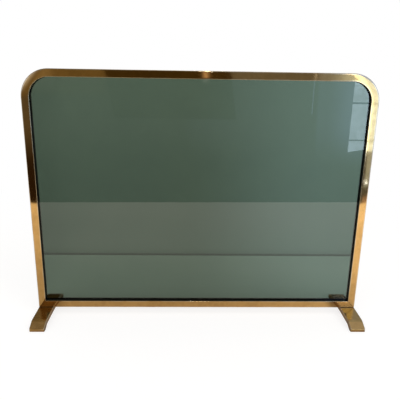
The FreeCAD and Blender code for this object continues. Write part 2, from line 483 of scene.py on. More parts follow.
class Ripple(Effect):
    """The slight unevenness of a surface that was bent and polished by hand."""

    inputs = ("Place", "Scale", "Depth")
    output = "Height"
    swell = Cloud(detail=1.5, rough=0.35)

    def wire(self, desk: NodeDesk, given: Sockets) -> Socket:
        """Give a low swell in metres."""
        return desk.times(desk.noise(given["Place"], self.swell, given["Scale"]), given["Depth"])


class Finish(ABC):
    """How one kind of surface looks."""

    name: str

    def material(self) -> bpy.types.Material:
        """Build the material the first time, and give it each time.

        Returns:
            The material of this finish.
        """
        found = bpy.data.materials.get(self.name)
        if found:
            return found
        made = bpy.data.materials.new(self.name)
        desk = empty_desk(made)
        shader = desk.node("ShaderNodeBsdfPrincipled")
        self.wire(desk, shader)
        desk.show(shader.outputs["BSDF"])
        return made

    @abstractmethod
    def wire(self, desk: NodeDesk, shader: bpy.types.Node) -> None:
        """Lay the nodes that feed the shader.

        Args:
            desk: The desk of the material's tree.
            shader: The Principled shader that they feed.
        """

    @staticmethod
    def emboss(desk: NodeDesk, shader: bpy.types.Node, height: Socket) -> None:
        """Let a height in metres turn the shader's normals."""
        bump = desk.node("ShaderNodeBump", {"Height": height, "Distance": 1.0})
        desk.feed(shader.inputs["Normal"], bump.outputs["Normal"])


def foot_seat() -> tuple[Point, Point]:
    """Find where the frame stands on the right foot.

    Returns:
        The middle of the seat and half its size.
    """
    low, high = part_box("right_foot")
    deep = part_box("frame_hoop")[1].y
    return ((low.x + high.x) / 2, 0.0, high.z), ((high.x - low.x) / 2, deep, 0.0)


@dataclass(frozen=True)
class BrassFinish(Finish):
    """Polished brass with a patina, brushed lines, rubbed edges and painted shade."""

    name: str
    lay: Lay
    metal: Colour = (0.83, 0.50, 0.182)
    tarnish: Colour = (0.36, 0.195, 0.055)
    bright: Colour = (0.92, 0.76, 0.54)
    side_shade_tone: Colour = (0.23, 0.118, 0.032)
    seat_shade_tone: Colour = (0.11, 0.045, 0.022)
    darkening_tone: Colour = (0.03, 0.02, 0.016)
    dust_tone: Colour = (0.46, 0.41, 0.34)
    roughness: float = 0.03
    line_fineness: float = 900.0
    line_stretch: float = 70.0
    line_depth: float = 0.0009 * MM
    line_rough: float = 0.02
    patina_scale: float = 26.0
    patina_share: float = 0.26
    patina_rough: float = 0.06
    bottom_low: float = 20 * MM
    bottom_high: float = 190 * MM
    bottom_share: float = 0.12
    edge_amount: float = 0.7
    edge_rough: float = 0.06
    seat_shade_spread: float = 2.6 * MM
    seat_shade_amount: float = 0.85
    seat_shade_rough: float = 0.3
    darkening_amount: float = 0.9
    side_shade_amount: float = 0.0
    smudge_scale: float = 16.0
    smudge_amount: float = 0.06
    dust_amount: float = 0.10
    dust_rough: float = 0.5
    ripple_scale: float = 17.0
    ripple_depth: float = 0.035 * MM

    def wire(self, desk: NodeDesk, shader: bpy.types.Node) -> None:
        """Colour the metal by its patina, painted shade, wear and dust, and roughen it by its lines and
        smudges.

        Args:
            desk: The desk of the material's tree.
            shader: The Principled shader.
        """
        place = desk.here()
        if self.lay is Lay.ALONG_BAR:
            along, across = desk.mark("along"), desk.mark("across")
        else:
            along, across = desk.parts(place)[:2]
        lines = Brushing().place(desk, Along=along, Across=across, Fineness=self.line_fineness,
                                 Stretch=self.line_stretch)
        # The ramp towards the bottom is painted shade: the brass is darker near the floor.
        patina_and_shade = Patina().place(desk, Place=place, Scale=self.patina_scale, Share=self.patina_share,
                                Low=self.bottom_low, High=self.bottom_high, Film=self.bottom_share)
        worn = EdgeWear().place(desk, Edge=desk.mark("edge"), Place=place, Amount=self.edge_amount)
        smudge = Smudges().place(desk, Place=place, Scale=self.smudge_scale, Amount=self.smudge_amount)
        dust = Dust().place(desk, Place=place, Amount=self.dust_amount)
        # Painted shade where the frame sits on the feet: dark brown, and rougher metal there.
        centre, half = foot_seat()
        seat_shade = SeatShade().place(desk, Place=place, Centre=centre, Half=half, Spread=self.seat_shade_spread,
                              Amount=self.seat_shade_amount)
        # Painted shade, brown, on the faces that look sideways or endways; only the feet have it.
        side_shade = SideShade().place(desk, Place=place, Amount=self.side_shade_amount)
        # Near-black on the channel's mouth faces beside the rubber and on the eased mitre ends.
        darkening = desk.times(desk.mark("darkening"), self.darkening_amount)
        colour = desk.layers(self.metal, (patina_and_shade, self.tarnish), (side_shade, self.side_shade_tone),
                             (worn, self.bright), (dust, self.dust_tone), (seat_shade, self.seat_shade_tone),
                             (darkening, self.darkening_tone))
        desk.feed(shader.inputs["Base Color"], colour)
        rough = desk.add(self.roughness, desk.times(patina_and_shade, self.patina_rough), smudge,
                         desk.times(lines, self.line_rough), desk.times(dust, self.dust_rough),
                         desk.times(worn, self.edge_rough), desk.times(seat_shade, self.seat_shade_rough))
        desk.feed(shader.inputs["Roughness"], rough)
        ripple = Ripple().place(desk, Place=place, Scale=self.ripple_scale, Depth=self.ripple_depth)
        self.emboss(desk, shader, desk.add(ripple, desk.times(lines, self.line_depth)))
        shader.inputs["Metallic"].default_value = 1.0


@dataclass(frozen=True)
class GlassFinish(Finish):
    """Green-grey smoked glass with faint smudges."""

    name: str = "polished_smoked_glass"
    tint: Colour = (0.118, 0.176, 0.129)
    hazy: Colour = (0.108, 0.163, 0.122)
    cloud_scale: float = 5.0
    cloud_share: float = 0.6
    bottom_high: float = 60 * MM
    bottom_share: float = 0.4
    roughness: float = 0.004
    smudge_scale: float = 7.0
    smudge_amount: float = 0.03
    index: float = 1.7

    def wire(self, desk: NodeDesk, shader: bpy.types.Node) -> None:
        """Cloud the tint a little and let the smudges dull the polish.

        Args:
            desk: The desk of the material's tree.
            shader: The Principled shader.
        """
        place = desk.here()
        smudge = Smudges().place(desk, Place=place, Scale=self.smudge_scale, Amount=self.smudge_amount)
        cloud = Patina().place(desk, Place=place, Scale=self.cloud_scale, Share=self.cloud_share,
                               Low=0.0, High=self.bottom_high, Film=self.bottom_share)
        desk.feed(shader.inputs["Base Color"], desk.mix(cloud, self.tint, self.hazy))
        desk.feed(shader.inputs["Roughness"], desk.add(self.roughness, smudge))
        shader.inputs["Transmission Weight"].default_value = 1.0
        shader.inputs["IOR"].default_value = self.index


@dataclass(frozen=True)
class RubberFinish(Finish):
    """Matt black glazing rubber with a moulded grain and a little dust."""

    name: str = "moulded_black_rubber"
    black: Colour = (0.004, 0.004, 0.004)
    chalked: Colour = (0.010, 0.009, 0.009)
    dust_tone: Colour = (0.05, 0.047, 0.042)
    chalk_scale: float = 22.0
    chalk_share: float = 0.5
    bottom_low: float = 20 * MM
    bottom_high: float = 80 * MM
    bottom_share: float = 0.3
    dust_amount: float = 0.2
    grain: Cloud = Cloud(1400.0, 2.0, 0.6, span=(0.3, 0.7), to=(0.58, 0.78))
    grain_depth: float = 0.02 * MM
    gloss: float = 0.2

    def wire(self, desk: NodeDesk, shader: bpy.types.Node) -> None:
        """Chalk the black in places and grain the skin.

        Args:
            desk: The desk of the material's tree.
            shader: The Principled shader.
        """
        place = desk.here()
        chalk = Patina().place(desk, Place=place, Scale=self.chalk_scale, Share=self.chalk_share,
                               Low=self.bottom_low, High=self.bottom_high, Film=self.bottom_share)
        dust = Dust().place(desk, Place=place, Amount=self.dust_amount)
        colour = desk.layers(self.black, (chalk, self.chalked), (dust, self.dust_tone))
        desk.feed(shader.inputs["Base Color"], colour)
        grain = desk.noise(place, self.grain)
        desk.feed(shader.inputs["Roughness"], desk.remap(grain, self.grain.span, self.grain.to))
        self.emboss(desk, shader, desk.times(grain, self.grain_depth))
        shader.inputs["Specular IOR Level"].default_value = self.gloss


@dataclass(frozen=True)
class RimPoint:
    """A point of a section's outline, and how far it counts as an edge and as darkened, from 0 to 1."""

    across: float
    depth: float
    edge: float = 0.0
    darkening: float = 0.0

    def at(self) -> Vector:
        """Give its place in the section's plane."""
        return Vector((self.across, self.depth))


@dataclass(frozen=True)
class Corner(RimPoint):
    """A corner of a section, with its rounding and the swell of the side that leaves it."""

    radius: float = 0.0
    swell: float = 0.0


def section_rim(corners: Sequence[Corner], fade: float) -> list[RimPoint]:
    """Round a section's corners and divide the sides between them.

    Args:
        corners: The corners in turn, counterclockwise, each a right angle.
        fade: How far beside a rounding the side stops counting as an edge.

    Returns:
        The points of the closed outline.
    """
    rim = []
    for index, corner in enumerate(corners):
        after = corners[(index + 1) % len(corners)]
        into = (corner.at() - corners[index - 1].at()).normalized()
        side = after.at() - corner.at()
        away = side.normalized()
        if corner.radius:
            centre = corner.at() + (away - into) * corner.radius
            first, last = corners[index - 1].darkening, after.darkening
            for step in range(ARC_STEPS + 1):
                turn = math.pi / 2 * step / ARC_STEPS
                point = centre + corner.radius * (into * math.sin(turn) - away * math.cos(turn))
                past = 2.0 * step / ARC_STEPS
                darkening = max(first * (1.0 - past), last * (past - 1.0), 0.0)
                rim.append(RimPoint(point.x, point.y, 1.0, darkening))
        else:
            rim.append(RimPoint(corner.across, corner.depth, corner.edge, corner.darkening))
        start = corner.at() + away * corner.radius
        run = side.length - corner.radius - after.radius
        outward = Vector((away.y, -away.x))
        stops = {step / SIDE_STEPS for step in range(1, SIDE_STEPS)} if corner.swell else set()
        if corner.radius and not after.edge:
            stops.add(fade / run)
        if after.radius and not corner.edge:
            stops.add(1.0 - fade / run)
        for stop in sorted(stops):
            point = start + away * run * stop + outward * corner.swell * 4 * stop * (1 - stop)
            rim.append(RimPoint(point.x, point.y))
    return rim


def eased(rim: Sequence[RimPoint], ease: float) -> list[RimPoint]:
    """Draw an outline in a little all round.

    Args:
        rim: The outline's points, counterclockwise.
        ease: How far each point goes in.

    Returns:
        The smaller outline, point for point.
    """
    smaller = []
    for index, point in enumerate(rim):
        before, after = rim[index - 1].at(), rim[(index + 1) % len(rim)].at()
        into, away = (point.at() - before).normalized(), (after - point.at()).normalized()
        inward = (Vector((-into.y, into.x)) + Vector((-away.y, away.x))).normalized()
        moved = point.at() + inward * ease
        smaller.append(RimPoint(moved.x, moved.y, 1.0, 1.0))
    return smaller


@dataclass(frozen=True)
class Ring:
    """One closed loop of points round a bar, at one place along it."""

    points: list[Vector]
    rim: Sequence[RimPoint]
    along: float


def new_object(name: str, data: bpy.types.ID) -> bpy.types.Object:
    """Put a mesh, a lamp or a camera into the scene.

    Args:
        name: The object's name.
        data: What it is.

    Returns:
        The new object.
    """
    made = bpy.data.objects.new(name, data)
    bpy.context.scene.collection.objects.link(made)
    return made


def outward_faces(mesh: bpy.types.Mesh) -> None:
    """Turn all faces of a closed mesh outwards.

    Args:
        mesh: The mesh.
    """
    work = bmesh.new()
    work.from_mesh(mesh)
    bmesh.ops.recalc_face_normals(work, faces=work.faces)
    work.to_mesh(mesh)
    work.free()


def smooth(piece: bpy.types.Object) -> None:
    """Shade a piece smoothly, with its flats flat and its hard edges hard.

    Args:
        piece: The piece.
    """
    piece.data.shade_smooth()
    piece.data.set_sharp_from_angle(angle=SHARP_ANGLE)
    weigh = piece.modifiers.new("flat faces", "WEIGHTED_NORMAL")
    weigh.keep_sharp = True
    weigh.weight = FLAT_WEIGHT


def skin(name: str, rings: Sequence[Ring]) -> bpy.types.Object:
    """Stretch a closed skin over rings of equal count.

    Args:
        name: The piece's name.
        rings: The rings in turn, from one end to the other.

    Returns:
        The new object, with its run, girth, edges and darkening kept at its points.
    """
    count = len(rings[0].points)
    last = (len(rings) - 1) * count
    faces = [(low + here, low + (here + 1) % count, low + count + (here + 1) % count, low + count + here)
             for low in range(0, last, count) for here in range(count)]
    faces += [tuple(reversed(range(count))), tuple(range(last, last + count))]
    mesh = bpy.data.meshes.new(name)
    mesh.from_pydata([point for ring in rings for point in ring.points], [], faces)
    girth = [0.0]
    rim = rings[len(rings) // 2].rim
    for before, after in zip(rim, rim[1:]):
        girth.append(girth[-1] + (after.at() - before.at()).length)
    marks = {"along": [ring.along for ring in rings for _ in range(count)], "across": girth * len(rings),
             "edge": [point.edge for ring in rings for point in ring.rim],
             "darkening": [point.darkening for ring in rings for point in ring.rim]}
    for label, values in marks.items():
        mesh.attributes.new(label, "FLOAT", "POINT").data.foreach_set("value", values)
    outward_faces(mesh)
    piece = new_object(name, mesh)
    smooth(piece)
    return piece


def hand_over(piece: bpy.types.Object, finish: Finish, node: str) -> None:
    """Dress a new piece, and let it stand for its node on the one body.

    Args:
        piece: The piece.
        finish: Its finish.
        node: The node that it stands for.
    """
    piece.data.materials.append(finish.material())
    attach(piece, "root")
    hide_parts(node)
    LOG.info("%s: %d faces, %s", piece.name, len(piece.data.polygons), finish.name)


@dataclass(frozen=True)
class ChannelSection:
    """A channel with a slot towards the pane, measured from the frame's outer side."""

    outer: float
    floor: float
    mouth: float
    half_depth: float
    half_slot: float
    arris: float
    lip: float
    swell: float = 0.0
    fade: float = 0.5 * MM

    def rim(self) -> list[RimPoint]:
        """Go once round the channel.

        Returns:
            The points of its outline, which starts and ends in the slot.
        """
        back, front = self.half_depth, -self.half_depth
        return section_rim([
            Corner(self.floor, self.half_slot),
            Corner(self.mouth, self.half_slot, edge=1.0, darkening=1.0),
            Corner(self.mouth, back, radius=self.lip, swell=self.swell),
            Corner(self.outer, back, radius=self.arris),
            Corner(self.outer, front, radius=self.arris, swell=self.swell),
            Corner(self.mouth, front, radius=self.lip),
            Corner(self.mouth, -self.half_slot, edge=1.0, darkening=1.0),
            Corner(self.floor, -self.half_slot),
        ], self.fade)


@dataclass(frozen=True)
class FrameLine:
    """The outer line that the frame's bars follow, and how they are divided along it."""

    half_width: float
    bottom: float
    top: float
    bend: float = 59 * MM
    gap: float = 0.07 * MM
    ease: float = 0.55 * MM
    run_steps: int = 10
    bend_steps: int = 24

    @classmethod
    def read(cls) -> "FrameLine":
        """Read the line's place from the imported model."""
        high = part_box("frame_hoop")[1]
        return cls(half_width=high.x, bottom=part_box("bottom_rail")[0].z, top=high.z)

    def left_half(self) -> list[PlaceAt]:
        """Give the places from the left bottom corner to the middle of the top.

        Returns:
            For each place, a function from an inset to X and Z.
        """
        spring = self.top - self.bend
        centre = self.bend - self.half_width
        places: list[PlaceAt] = []
        for step in range(self.run_steps + 1):
            share = step / self.run_steps
            places.append(lambda inset, share=share: (
                inset - self.half_width, (self.bottom + inset + self.gap) * (1 - share) + spring * share))
        for step in range(1, self.bend_steps + 1):
            turn = math.pi - math.pi / 2 * step / self.bend_steps
            places.append(lambda inset, turn=turn: (
                centre + (self.bend - inset) * math.cos(turn),
                spring + (self.bend - inset) * math.sin(turn)))
        for step in range(1, self.run_steps + 1):
            share = step / self.run_steps
            places.append(lambda inset, share=share: (centre * (1 - share), self.top - inset))
        return places

    def hoop(self, rim: Sequence[RimPoint], draw: float = 0.0) -> list[Ring]:
        """Carry a section up one side, over the top and down the other.

        Args:
            rim: The section's outline.
            draw: By what share the outer side grows thinner in the middle of a bend.

        Returns:
            The rings, with eased ends at the mitres.
        """
        half = self.left_half()
        places = half + [lambda inset, at=at: (-at(inset)[0], at(inset)[1]) for at in reversed(half[:-1])]
        bends = [math.sin(math.pi * step / self.bend_steps) for step in range(1, self.bend_steps + 1)]
        draws = [0.0] * (self.run_steps + 1) + bends + [0.0] * self.run_steps
        draws += draws[-2::-1]
        rings, along, before = [], 0.0, Vector(places[0](0.0))
        for at, share in zip(places, draws):
            here = Vector(at(0.0))
            along += (here - before).length
            before = here
            rings.append(self.ring(at, rim, along, draw * share))
        small = eased(rim, self.ease)
        for end, at in ((0, places[0]), (-1, places[-1])):
            lifted = [Vector((p.x, p.y, p.z + self.ease)) for p in rings[end].points]
            cap = self.ring(at, small, rings[end].along)
            rings[end] = Ring(lifted, rim, rings[end].along)
            rings.insert(0 if end == 0 else len(rings), cap)
        return rings

    def rail(self, rim: Sequence[RimPoint]) -> list[Ring]:
        """Carry a section along the bottom from mitre to mitre.

        Args:
            rim: The section's outline.

        Returns:
            The rings, with eased ends at the mitres.
        """
        small = eased(rim, self.ease)
        rings = []
        for step in range(-self.run_steps, self.run_steps + 1):
            share = step / self.run_steps

            def at(inset: float, share: float = share, back: float = 0.0) -> tuple[float, float]:
                """Give the place at an inset from the outer line."""
                return (self.half_width - inset - self.gap - back) * share, self.bottom + inset

            end = abs(step) == self.run_steps
            full = self.ring(lambda inset: at(inset, back=self.ease if end else 0.0), rim, at(0.0)[0])
            cap = [self.ring(at, small, at(0.0)[0])] if end else []
            rings += cap + [full] if step < 0 else [full] + cap
        return rings

    @staticmethod
    def ring(at: PlaceAt, rim: Sequence[RimPoint], along: float, draw: float = 0.0) -> Ring:
        """Set a section's outline at one place.

        Args:
            at: The function from an inset to X and Z there.
            rim: The section's outline.
            along: The place's distance along the bar.
            draw: By what share its outer side is thinner there.

        Returns:
            The ring.
        """
        face = max(point.across for point in rim)
        points = []
        for point in rim:
            x, z = at(point.across)
            points.append(Vector((x, point.depth * (1 - draw * (1 - point.across / face) ** 2), z)))
        return Ring(points, rim, along)


@dataclass(frozen=True)
class BrassFrame:
    """The bent hoop and the straight rail under it, of one brass channel."""

    line: FrameLine
    wall: float = 2 * MM
    flange: float = 5 * MM
    arris: float = 1.5 * MM
    lip: float = 0.6 * MM
    swell: float = 0.03 * MM
    wear: float = 1.8 * MM
    draw: float = 0.04
    finish: BrassFinish = BrassFinish("polished_frame_brass", Lay.ALONG_BAR)

    def section(self) -> ChannelSection:
        """Work the channel's section out from the rail's box."""
        low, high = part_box("bottom_rail")
        return ChannelSection(outer=0.0, floor=self.wall, mouth=high.z - low.z, half_depth=high.y,
                              half_slot=high.y - self.flange, arris=self.arris, lip=self.lip,
                              swell=self.swell, fade=self.wear)

    def build(self) -> None:
        """Make both bars and dress them."""
        rim = self.section().rim()
        bars = {"frame_hoop": self.line.hoop(rim, self.draw), "bottom_rail": self.line.rail(rim)}
        for name, rings in bars.items():
            hand_over(skin("brass_" + name, rings), self.finish, name)


@dataclass(frozen=True)
class Glazing:
    """The pane and the rubber round it."""

    line: FrameLine
    proud: float = 0.08 * MM
    lip: float = 0.7 * MM
    heel: float = 0.4 * MM
    clearance: float = 0.1 * MM
    arris: float = 0.5 * MM
    pane_corner: float = 2 * MM
    corner_steps: int = 16
    rubber: RubberFinish = RubberFinish()
    glass: GlassFinish = GlassFinish()

    def rubber_section(self) -> ChannelSection:
        """Work the rubber's section out from the boxes of rubber, rail and pane.

        Returns:
            The section.
        """
        rail_low, rail_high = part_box("bottom_rail")
        rubber_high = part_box("hoop_gasket")[1]
        pane_low, pane_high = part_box("glass_panel")
        return ChannelSection(
            outer=self.line.top - rubber_high.z,
            floor=pane_low.z - self.line.bottom - self.clearance,
            mouth=rail_high.z - rail_low.z + self.proud,
            half_depth=rubber_high.y,
            half_slot=pane_high.y + self.clearance / 2,
            arris=self.heel,
            lip=self.lip,
        )

    def pane_loop(self, inset: float, depth: float) -> list[Vector]:
        """Go once round the pane.

        Args:
            inset: How far inside its edge the loop runs.
            depth: The loop's place in depth.

        Returns:
            The loop's points, from the right bottom corner on.
        """
        low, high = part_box("glass_panel")
        top_radius = self.line.bend - (self.line.top - high.z) - inset
        low_radius = self.pane_corner - inset
        loop = []
        for index, (x_side, z_side, radius) in enumerate(
                ((1, -1, low_radius), (1, 1, top_radius), (-1, 1, top_radius), (-1, -1, low_radius))):
            x = x_side * (high.x - inset - radius)
            z = high.z - inset - radius if z_side > 0 else low.z + inset + radius
            for step in range(self.corner_steps + 1):
                turn = math.pi / 2 * (index - 1 + step / self.corner_steps)
                loop.append(Vector((x + radius * math.cos(turn), depth, z + radius * math.sin(turn))))
        return loop

    def pane(self) -> bpy.types.Object:
        """Make the pane, with its edges arrised.

        Returns:
            The pane's object.
        """
        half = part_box("glass_panel")[1].y
        loops = ((self.arris, -half), (0.0, self.arris - half), (0.0, half - self.arris), (self.arris, half))
        rim = [RimPoint(0.0, 0.0)] * len(self.pane_loop(0.0, 0.0))
        return skin("glass_pane", [Ring(self.pane_loop(*loop), rim, 0.0) for loop in loops])

    def build(self) -> None:
        """Make the pane and both lengths of rubber and dress them."""
        hand_over(self.pane(), self.glass, "glass_panel")
        rim = self.rubber_section().rim()
        lengths = {"hoop_gasket": self.line.hoop(rim), "bottom_gasket": self.line.rail(rim)}
        for name, rings in lengths.items():
            hand_over(skin("rubber_" + name, rings), self.rubber, name)


@dataclass(frozen=True)
class Bend:
    """A rounded bend in a foot's side line, where its fall grows from one angle to another."""

    run: float
    height: float
    radius: float
    before: float
    after: float

    def setback(self) -> float:
        """Give how much line the rounding takes on either side."""
        return self.radius * math.tan((self.after - self.before) / 2)

    def span(self) -> Span:
        """Give the distances from the foot's middle between which it is rounded."""
        back = self.setback()
        return self.run - back * math.cos(self.before), self.run + back * math.cos(self.after)

    def level(self, run: float) -> float:
        """Find how high the line is near this bend.

        Args:
            run: The distance from the foot's middle.

        Returns:
            The line's height there.
        """
        start, stop = self.span()
        if run <= start:
            return self.height + (self.run - run) * math.tan(self.before)
        if run >= stop:
            return self.height - (run - self.run) * math.tan(self.after)
        middle = start - self.radius * math.sin(self.before)
        centre = self.height + self.setback() * math.sin(self.before) - self.radius * math.cos(self.before)
        return centre + math.sqrt(self.radius ** 2 - (run - middle) ** 2)

    def below(self, thickness: float) -> "Bend":
        """Find the bend of the line that runs under this one.

        Args:
            thickness: How far apart the two lines run.

        Returns:
            The lower bend.
        """
        middle = (self.before + self.after) / 2
        reach = thickness / math.cos((self.after - self.before) / 2)
        return Bend(self.run - reach * math.sin(middle), self.height - reach * math.cos(middle),
                    self.radius - thickness, self.before, self.after)


@dataclass(frozen=True)
class Foot:
    """A brass bar from front to back: a level seat, arms that fall a little, and toes set down."""

    side: Side
    thickness: float = 10.2 * MM
    seat: float = 12 * MM
    arm_fall: float = math.radians(2.5)
    arm_radius: float = 60 * MM
    toe_height: float = 7 * MM
    toe_angle: float = math.radians(26.0)
    toe_radius: float = 12 * MM
    plan_radius: float = 2 * MM
    tip_shares: tuple[float, ...] = (1.0, 0.72, 0.5, 0.33, 0.2, 0.1, 0.03, 0.0)
    edge: float = 0.9 * MM
    wear: float = 1.2 * MM
    swell: float = 0.05 * MM
    screw_insets: tuple[float, float] = (9 * MM, 24 * MM)
    head_radius: float = 4.7 * MM
    shank_radius: float = 2.6 * MM
    head_recess: float = 0.3 * MM
    hole_overrun: float = 1 * MM
    hole_steps: int = 40
    shoulder_steps: int = 4
    knee_steps: int = 14
    # The feet have painted shade on their sides and ends, and a stronger ramp of painted shade near the
    # floor.
    finish: BrassFinish = BrassFinish("polished_foot_brass", Lay.ALONG_BAR, bottom_low=0.0, bottom_high=40 * MM,
                                      bottom_share=0.25, patina_scale=34.0, patina_share=0.34, roughness=0.13,
                                      side_shade_amount=0.85)

    def node(self) -> str:
        """Give the name of the foot's node."""
        return self.side.name.lower() + "_foot"

    def top_bends(self) -> tuple[Bend, Bend]:
        """Work the bends of the top line out from the foot's box.

        Returns:
            The shoulder and the knee.
        """
        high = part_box(self.node())[1]
        fall, slope = math.tan(self.arm_fall), math.tan(self.toe_angle)
        toe_run = (high.z - self.toe_height - (high.y - self.seat) * fall) / (slope - fall)
        shoulder = Bend(self.seat, high.z, self.arm_radius + self.thickness, 0.0, self.arm_fall)
        knee = Bend(high.y - toe_run, self.toe_height + toe_run * slope, self.toe_radius + self.thickness,
                    self.arm_fall, self.toe_angle)
        return shoulder, knee

    def sole_bends(self) -> tuple[Bend, Bend]:
        """Give the same two bends of the underside."""
        shoulder, knee = self.top_bends()
        return shoulder.below(self.thickness), knee.below(self.thickness)

    @staticmethod
    def level(run: float, bends: tuple[Bend, Bend]) -> float:
        """Give a side line's height at a distance from the foot's middle."""
        shoulder, knee = bends
        return (shoulder if run < (shoulder.run + knee.run) / 2 else knee).level(run)

    def runs(self) -> list[float]:
        """Choose where one half of the foot has its rings.

        Returns:
            The distances from the middle, in order.
        """
        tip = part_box(self.node())[1].y
        stops = {0.0}
        counts = (self.shoulder_steps, self.knee_steps)
        for upper, lower, steps in zip(self.top_bends(), self.sole_bends(), counts):
            start, stop = min(upper.span()[0], lower.span()[0]), max(upper.span()[1], lower.span()[1])
            stops.update(start + (stop - start) * step / steps for step in range(steps + 1))
        shoulder, knee = self.sole_bends()
        pad = knee.run + knee.height / math.tan(self.toe_angle)
        tips = [tip - share * self.plan_radius for share in self.tip_shares]
        return sorted(stops | {(shoulder.run + knee.run) / 2, pad, (pad + tip) / 2, *tips})

    def ring(self, run: float) -> Ring:
        """Set the bar's section at one place along the foot.

        Args:
            run: The distance from the middle, negative at the front.

        Returns:
            The ring.
        """
        low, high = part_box(self.node())
        ahead = high.y - abs(run)
        top = self.level(abs(run), self.top_bends())
        bottom = max(self.level(abs(run), self.sole_bends()), 0.0)
        half = (high.x - low.x) / 2
        if ahead < self.plan_radius:
            half -= self.plan_radius - math.sqrt(self.plan_radius ** 2 - (self.plan_radius - ahead) ** 2)
        if ahead < self.edge:
            top -= self.edge - math.sqrt(self.edge ** 2 - (self.edge - ahead) ** 2)
        rim = section_rim([Corner(-half, bottom), Corner(half, bottom),
                           Corner(half, top, radius=self.edge, swell=self.swell),
                           Corner(-half, top, radius=self.edge)], self.wear)
        middle = (low.x + high.x) / 2
        return Ring([Vector((middle + point.across, run, point.depth)) for point in rim], rim, run)

    def cutter(self, inset: float) -> bpy.types.Object:
        """Make the body of one countersunk hole.

        Args:
            inset: The hole's distance from the frame's outer side.

        Returns:
            The body, which is only used to cut.
        """
        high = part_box(self.node())[1]
        x = self.side.value * (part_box("frame_hoop")[1].x - inset)
        seat = high.z - self.thickness + self.head_recess
        neck = seat + self.head_radius - self.shank_radius
        outline = ((self.head_radius, -self.hole_overrun), (self.head_radius, seat),
                   (self.shank_radius, neck), (self.shank_radius, high.z + self.hole_overrun))
        turns = [2 * math.pi * (step + 0.5) / self.hole_steps for step in range(self.hole_steps)]
        rings = []
        for radius, z in outline:
            points = [Vector((x + radius * math.cos(turn), radius * math.sin(turn), z)) for turn in turns]
            rings.append(Ring(points, [RimPoint(0.0, 0.0)] * self.hole_steps, 0.0))
        return skin("hole", rings)

    def drill(self, piece: bpy.types.Object) -> None:
        """Cut the two screw holes.

        Args:
            piece: The foot's object, which gets the drilled mesh.
        """
        for inset in self.screw_insets:
            cutter = self.cutter(inset)
            cut = piece.modifiers.new("hole", "BOOLEAN")
            cut.operation, cut.solver, cut.object = "DIFFERENCE", "EXACT", cutter
            piece.modifiers.move(len(piece.modifiers) - 1, 0)
            ready = piece.evaluated_get(bpy.context.evaluated_depsgraph_get())
            drilled = bpy.data.meshes.new_from_object(ready)
            piece.modifiers.clear()
            piece.data = drilled
            bpy.data.objects.remove(cutter)
        smooth(piece)

    def build(self) -> None:
        """Make the foot, drill it and dress it."""
        half = self.runs()
        runs = [-run for run in reversed(half[1:])] + half
        piece = skin("brass_" + self.node(), [self.ring(run) for run in runs])
        self.drill(piece)
        hand_over(piece, self.finish, self.node())


@dataclass(frozen=True)
class Fixings:
    """The corner keys inside the frame and the screws under the feet, as they are in the model."""

    key: BrassFinish = BrassFinish("sawn_key_brass", Lay.ALONG_X, metal=(0.66, 0.44, 0.17), roughness=0.28,
                                   line_depth=0.004 * MM, patina_share=0.4)
    screw: BrassFinish = BrassFinish("turned_screw_brass", Lay.ALONG_X, metal=(0.72, 0.46, 0.17),
                                     roughness=0.18, line_depth=0.002 * MM, patina_share=0.4)

    def dress(self) -> None:
        """Give each of these nodes its finish."""
        finishes = {"left_corner_key": self.key, "right_corner_key": self.key, "foot_screws": self.screw}
        for name, finish in finishes.items():
            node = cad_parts[name]
            node.data.materials.clear()
            node.data.materials.append(finish.material())
            LOG.info("%s: kept from the model, %s", name, finish.name)


def hide_from(piece: bpy.types.Object, *rays: Ray) -> None:
    """Hide a piece of the stage from some kinds of ray."""
    for ray in rays:
        setattr(piece, ray.value, False)


def stage_sheet(name: str, corners: Sequence[Point]) -> tuple[bpy.types.Object, NodeDesk]:
    """Make one flat sheet of the stage.

    Args:
        name: Its name.
        corners: Its four corners in turn.

    Returns:
        The sheet and the desk of its new material.
    """
    mesh = bpy.data.meshes.new(name)
    mesh.from_pydata([Vector(corner) for corner in corners], [], [(0, 1, 2, 3)])
    sheet = new_object(name, mesh)
    made = bpy.data.materials.new(name)
    mesh.materials.append(made)
    return sheet, empty_desk(made)


@dataclass(frozen=True)
class Card:
    """A flat panel in front of the screen that only shows in what is polished."""

    name: str
    low: tuple[float, float]
    high: tuple[float, float]
    glow: Colour
    away: float = -1.6
    lean: float = 0.0
    rise: float = 0.0
    mottle: float = 0.0
    soft: float = 0.0
    clouds: ClassVar[Cloud] = Cloud(22.0, 4.0, 0.65, 0.8, span=(0.36, 0.66))

    def build(self) -> None:
        """Make the panel, mottle its glow and fade its rim."""
        (x0, z0), (x1, z1) = self.low, self.high
        panel, desk = stage_sheet(self.name, [
            (x0, self.away, z0), (x1, self.away, z0 + self.rise),
            (x1 + self.lean, self.away, z1), (x0 + self.lean, self.away, z1)])
        place = desk.here()
        mottled = (1.0 - self.mottle, 1.0 + self.mottle)
        strength = desk.remap(desk.noise(place, self.clouds), self.clouds.span, mottled)
        surface = desk.node("ShaderNodeEmission", {"Color": self.glow, "Strength": strength}).outputs[0]
        if self.soft:
            x, _, z = desk.parts(place)
            sides = ((x, x0, x0 + self.soft), (x, x1, x1 - self.soft),
                     (z, z0, z0 + self.soft), (z, z1, z1 - self.soft))
            share = desk.times(1.0, *(desk.remap(value, (rim, inner)) for value, rim, inner in sides))
            clear = desk.node("ShaderNodeBsdfTransparent").outputs[0]
            surface = desk.node("ShaderNodeMixShader", {0: share, 1: clear, 2: surface}).outputs[0]
        desk.show(surface)
        hide_from(panel, Ray.CAMERA, Ray.TRANSMISSION, Ray.SHADOW, Ray.DIFFUSE)


